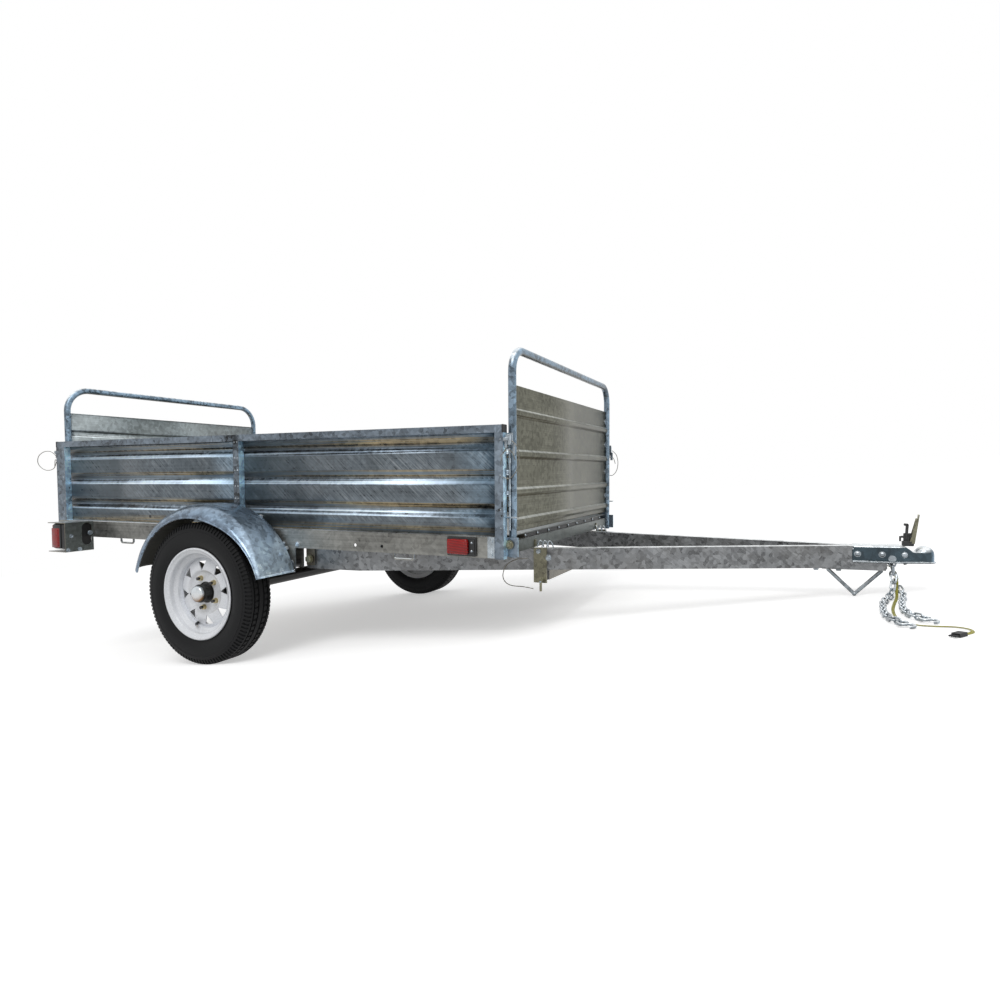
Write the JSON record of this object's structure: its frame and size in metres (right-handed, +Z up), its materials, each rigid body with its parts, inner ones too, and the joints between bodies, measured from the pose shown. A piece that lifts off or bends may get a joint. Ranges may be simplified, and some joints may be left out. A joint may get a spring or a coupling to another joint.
{
  "type": "utility trailer",
  "caption": "Single-axle tilting utility trailer with corrugated galvanised side walls, two folding hoop gates, fenders, spring axle and a V tongue with ball coupler.",
  "frame": {"origin": "centre of the bounding box on the floor, trailer parked nose down on its tyres and V stand", "axes": "+X towards the coupler, +Y to the trailer's left, +Z up"},
  "size_m": [3.5373, 1.662, 1.2591],
  "materials": {
    "galvanised": "hot-dip galvanised, spangled",
    "black_steel": "black paint",
    "tyre": "rubber",
    "white_wheel": "gloss white",
    "red_lens": "gloss red lens in a black housing",
    "yellow_zinc": "yellow zinc plate",
    "black_rubber": "moulded rubber and vinyl"
  },
  "bodies": {
    "bed": {"side_rail_left": "galvanised", "side_rail_right": "galvanised", "front_cross_rail": "galvanised", "rear_cross_rail": "galvanised", "cross_members": "galvanised", "floor_deck": "galvanised", "wall_panels_left": "galvanised", "wall_panels_right": "galvanised", "wall_frame_left": "galvanised", "wall_frame_right": "galvanised", "axle": "black_steel", "leaf_spring_left": "black_steel", "leaf_spring_right": "black_steel", "fender_left": "galvanised", "fender_right": "galvanised", "tail_light_bracket_left": "galvanised", "tail_light_bracket_right": "galvanised", "tail_light_left": "red_lens", "tail_light_right": "red_lens", "side_marker_left": "red_lens", "side_marker_right": "red_lens", "front_gate_latches": "galvanised", "rear_gate_latches": "galvanised", "tilt_latch_plates": "yellow_zinc"},
    "front_gate": {"front_gate_frame": "galvanised", "front_gate_panel": "galvanised"},
    "rear_gate": {"rear_gate_frame": "galvanised", "rear_gate_panel": "galvanised"},
    "wheel_left": {"tyre_left": "tyre", "rim_left": "white_wheel", "hub_left": "black_steel"},
    "wheel_right": {"tyre_right": "tyre", "rim_right": "white_wheel", "hub_right": "black_steel"},
    "tongue": {"tongue_rail_left": "galvanised", "tongue_rail_right": "galvanised", "tongue_cross_tube": "galvanised", "nose_plate": "galvanised", "coupler": "galvanised", "coupler_lever": "yellow_zinc", "tongue_stand": "galvanised", "safety_chain_left": "galvanised", "safety_chain_right": "galvanised", "wiring_harness": "black_rubber", "wiring_plug": "black_rubber"}
  },
  "joints": [
    {"name": "front_gate_fold", "type": "hinge", "parent": "bed", "child": "front_gate", "pos_m": [0.52376, 0, 0.32595], "axis": [0, 1, 0], "range_deg": [0, 90]},
    {"name": "rear_gate_fold", "type": "hinge", "parent": "bed", "child": "rear_gate", "pos_m": [-1.73706, 0, 0.61323], "axis": [0, -1, 0], "range_deg": [0, 130]},
    {"name": "wheel_left_spin", "type": "hinge", "parent": "bed", "child": "wheel_left", "pos_m": [-0.67038, 0.762, 0.2655], "axis": [0, 1, 0], "continuous": true},
    {"name": "wheel_right_spin", "type": "hinge", "parent": "bed", "child": "wheel_right", "pos_m": [-0.67038, -0.762, 0.2655], "axis": [0, 1, 0], "continuous": true},
    {"name": "bed_tilt", "type": "hinge", "parent": "bed", "child": "tongue", "pos_m": [-0.31282, 0, 0.34254], "axis": [0, 1, 0], "range_deg": [0, 22]}
  ]
}
